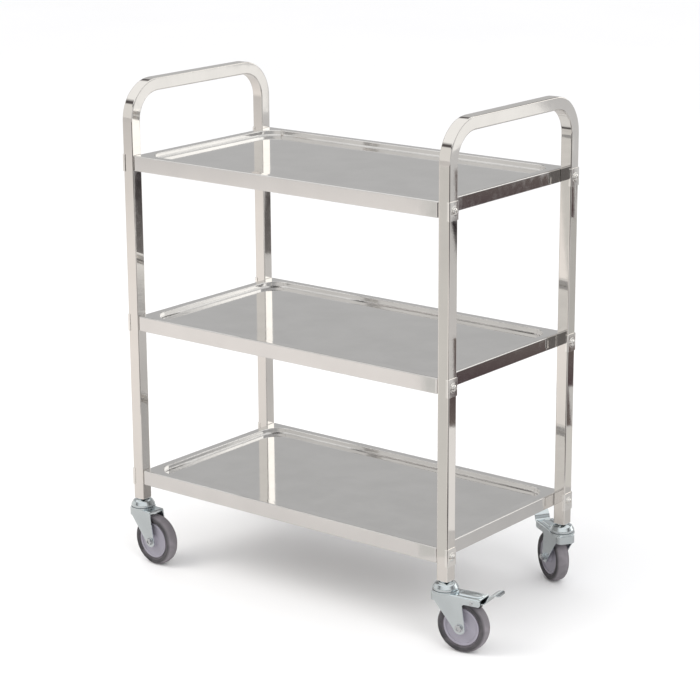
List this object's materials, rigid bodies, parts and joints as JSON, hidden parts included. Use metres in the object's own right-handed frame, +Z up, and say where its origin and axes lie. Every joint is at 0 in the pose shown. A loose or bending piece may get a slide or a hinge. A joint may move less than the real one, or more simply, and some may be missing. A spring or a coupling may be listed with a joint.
{
  "type": "food service trolley",
  "caption": "Three-shelf stainless steel serving trolley with bent square-tube end handles and recessed trays, on swivel casters, two with foot brakes.",
  "frame": {"origin": "on the floor, under the centre of the four posts", "axes": "+X towards the right end with its push handle, +Y towards the back, +Z up"},
  "size_m": [0.9051, 0.4932, 0.985],
  "materials": {
    "polished_steel": "polished stainless steel",
    "tray_steel": "satin stainless steel with polished edges",
    "bright_fittings": "polished stainless steel",
    "zinc_plate": "bright zinc plate, slightly blue",
    "zinc_hardware": "zinc-plated turned steel",
    "ball_steel": "ground ball steel",
    "black_nylon": "moulded nylon",
    "grey_hub": "moulded grey plastic",
    "grey_tyre": "dark grey moulded rubber",
    "shoe_rubber": "black rubber"
  },
  "bodies": {
    "trolley": {"left_end_frame": "polished_steel", "right_end_frame": "polished_steel", "bottom_shelf": "tray_steel", "middle_shelf": "tray_steel", "top_shelf": "tray_steel", "left_saddle_clips": "bright_fittings", "right_saddle_clips": "bright_fittings", "left_shelf_bolts": "bright_fittings", "right_shelf_bolts": "bright_fittings", "left_shelf_nuts": "zinc_hardware", "right_shelf_nuts": "zinc_hardware", "caster_inserts": "black_nylon", "stem_front_left": "zinc_hardware", "race_cap_front_left": "zinc_plate", "stem_front_right": "zinc_hardware", "race_cap_front_right": "zinc_plate", "stem_back_right": "zinc_hardware", "race_cap_back_right": "zinc_plate", "stem_back_left": "zinc_hardware", "race_cap_back_left": "zinc_plate"},
    "swivel_front_left": {"balls_front_left": "ball_steel", "fork_front_left": "zinc_plate", "axle_front_left": "zinc_hardware", "axle_nut_front_left": "zinc_hardware", "bush_front_left": "zinc_hardware"},
    "wheel_front_left": {"hub_front_left": "grey_hub", "tyre_front_left": "grey_tyre"},
    "swivel_front_right": {"balls_front_right": "ball_steel", "fork_front_right": "zinc_plate", "axle_front_right": "zinc_hardware", "axle_nut_front_right": "zinc_hardware", "bush_front_right": "zinc_hardware", "brake_pin_front_right": "zinc_hardware"},
    "wheel_front_right": {"hub_front_right": "grey_hub", "tyre_front_right": "grey_tyre"},
    "brake_front_right": {"brake_pedal_front_right": "zinc_plate", "brake_shoe_front_right": "shoe_rubber"},
    "swivel_back_right": {"balls_back_right": "ball_steel", "fork_back_right": "zinc_plate", "axle_back_right": "zinc_hardware", "axle_nut_back_right": "zinc_hardware", "bush_back_right": "zinc_hardware", "brake_pin_back_right": "zinc_hardware"},
    "wheel_back_right": {"hub_back_right": "grey_hub", "tyre_back_right": "grey_tyre"},
    "brake_back_right": {"brake_pedal_back_right": "zinc_plate", "brake_shoe_back_right": "shoe_rubber"},
    "swivel_back_left": {"balls_back_left": "ball_steel", "fork_back_left": "zinc_plate", "axle_back_left": "zinc_hardware", "axle_nut_back_left": "zinc_hardware", "bush_back_left": "zinc_hardware"},
    "wheel_back_left": {"hub_back_left": "grey_hub", "tyre_back_left": "grey_tyre"}
  },
  "joints": [
    {"name": "swivel_front_left", "type": "hinge", "parent": "trolley", "child": "swivel_front_left", "pos_m": [-0.381, -0.195, 0.1105], "axis": [0, 0, 1], "continuous": true},
    {"name": "roll_front_left", "type": "hinge", "parent": "swivel_front_left", "child": "wheel_front_left", "pos_m": [-0.34309, -0.19765, 0.051], "axis": [0.0698, 0.9976, 0], "continuous": true},
    {"name": "swivel_front_right", "type": "hinge", "parent": "trolley", "child": "swivel_front_right", "pos_m": [0.381, -0.195, 0.1105], "axis": [0, 0, 1], "continuous": true},
    {"name": "roll_front_right", "type": "hinge", "parent": "swivel_front_right", "child": "wheel_front_right", "pos_m": [0.41863, -0.18971, 0.051], "axis": [-0.1392, 0.9903, 0], "continuous": true},
    {"name": "brake_front_right", "type": "hinge", "parent": "swivel_front_right", "child": "brake_front_right", "pos_m": [0.4424, -0.18637, 0.104], "axis": [-0.1392, 0.9903, 0], "range_deg": [0, 9]},
    {"name": "swivel_back_right", "type": "hinge", "parent": "trolley", "child": "swivel_back_right", "pos_m": [0.381, 0.195, 0.1105], "axis": [0, 0, 1], "continuous": true},
    {"name": "roll_back_right", "type": "hinge", "parent": "swivel_back_right", "child": "wheel_back_right", "pos_m": [0.34877, 0.21514, 0.051], "axis": [-0.5299, -0.848, 0], "continuous": true},
    {"name": "brake_back_right", "type": "hinge", "parent": "swivel_back_right", "child": "brake_back_right", "pos_m": [0.32842, 0.22786, 0.104], "axis": [-0.5299, -0.848, 0], "range_deg": [0, 9]},
    {"name": "swivel_back_left", "type": "hinge", "parent": "trolley", "child": "swivel_back_left", "pos_m": [-0.381, 0.195, 0.1105], "axis": [0, 0, 1], "continuous": true},
    {"name": "roll_back_left", "type": "hinge", "parent": "swivel_back_left", "child": "wheel_back_left", "pos_m": [-0.34745, 0.21284, 0.051], "axis": [-0.4695, 0.8829, 0], "continuous": true}
  ]
}
